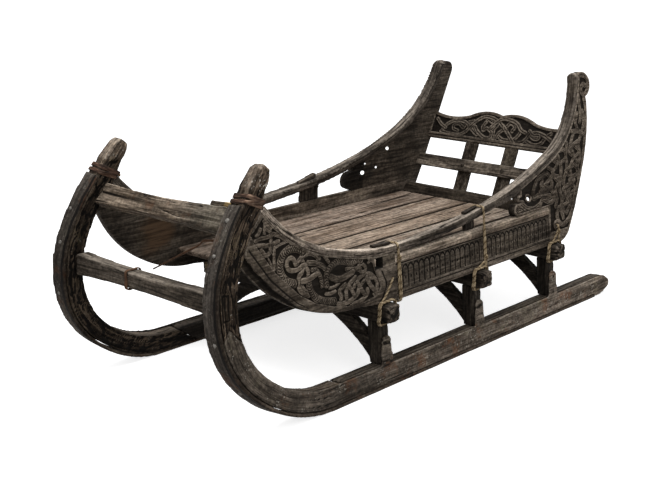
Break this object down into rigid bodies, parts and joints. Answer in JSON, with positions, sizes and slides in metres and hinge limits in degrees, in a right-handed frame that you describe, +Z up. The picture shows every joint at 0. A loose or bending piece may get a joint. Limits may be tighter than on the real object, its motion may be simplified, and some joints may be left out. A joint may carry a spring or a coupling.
{
  "type": "carved wooden sled",
  "caption": "Towed carved wooden sled: upswept runners with stems, beams on posts, plank bed, carved side panels rising to horns, slatted backrest and cord lashings.",
  "frame": {"origin": "middle of the sled's footprint, on the ground under the runners", "axes": "+X forward towards the stems, +Y to the sled's left, +Z up"},
  "size_m": [2.1998, 0.916, 0.9353],
  "materials": {
    "dark_wood": "weathered dark brown-grey wood, matte, with rubbed edges",
    "worn_wood": "handled grey-brown wood, worn pale on top",
    "carved_wood": "dark carved wood, darker in the ground of the carving",
    "floor_wood": "bare tan-grey planks with fine grain",
    "cord": "golden-tan twisted plant-fibre cord",
    "bark_band": "reddish-brown bast or hide band, dry and cracked",
    "withy": "thin reddish-brown twig with bark"
  },
  "bodies": {
    "root": {"backrest_crest": "carved_wood", "backrest_rail": "worn_wood", "backrest_sill": "worn_wood", "backrest_slat_left": "worn_wood", "backrest_slat_right": "worn_wood", "beam_front": "dark_wood", "beam_middle": "dark_wood", "beam_rear": "dark_wood", "cross_rail": "worn_wood", "cross_rail_withy": "withy", "floor_plank_1": "floor_wood", "floor_plank_2": "floor_wood", "floor_plank_3": "floor_wood", "floor_plank_4": "floor_wood", "floor_plank_5": "floor_wood", "front_panel_left": "carved_wood", "front_panel_right": "carved_wood", "head_rail": "worn_wood", "head_rail_wedge": "worn_wood", "knee_front_left": "dark_wood", "knee_front_right": "dark_wood", "knee_middle_left": "dark_wood", "knee_middle_right": "dark_wood", "knee_rear_left": "dark_wood", "knee_rear_right": "dark_wood", "lashing_front_left": "cord", "lashing_front_right": "cord", "lashing_middle_left": "cord", "lashing_middle_right": "cord", "lashing_rear_left": "cord", "lashing_rear_right": "cord", "loose_twig": "withy", "post_front_left": "dark_wood", "post_front_right": "dark_wood", "post_middle_left": "dark_wood", "post_middle_right": "dark_wood", "post_rear_left": "dark_wood", "post_rear_right": "dark_wood", "rail_spacer_left": "dark_wood", "rail_spacer_right": "dark_wood", "rear_panel_left": "carved_wood", "rear_panel_right": "carved_wood", "runner_left": "dark_wood", "runner_plate_left": "dark_wood", "runner_plate_right": "dark_wood", "runner_right": "dark_wood", "runner_shoe_left": "dark_wood", "runner_shoe_right": "dark_wood", "side_board_left": "carved_wood", "side_board_right": "carved_wood", "stem_band_left": "bark_band", "stem_band_right": "bark_band", "stem_left": "dark_wood", "stem_right": "dark_wood", "top_rail_left": "worn_wood", "top_rail_right": "worn_wood", "wedge_front_left": "worn_wood", "wedge_middle_left": "worn_wood", "wedge_middle_right": "worn_wood"}
  },
  "joints": []
}
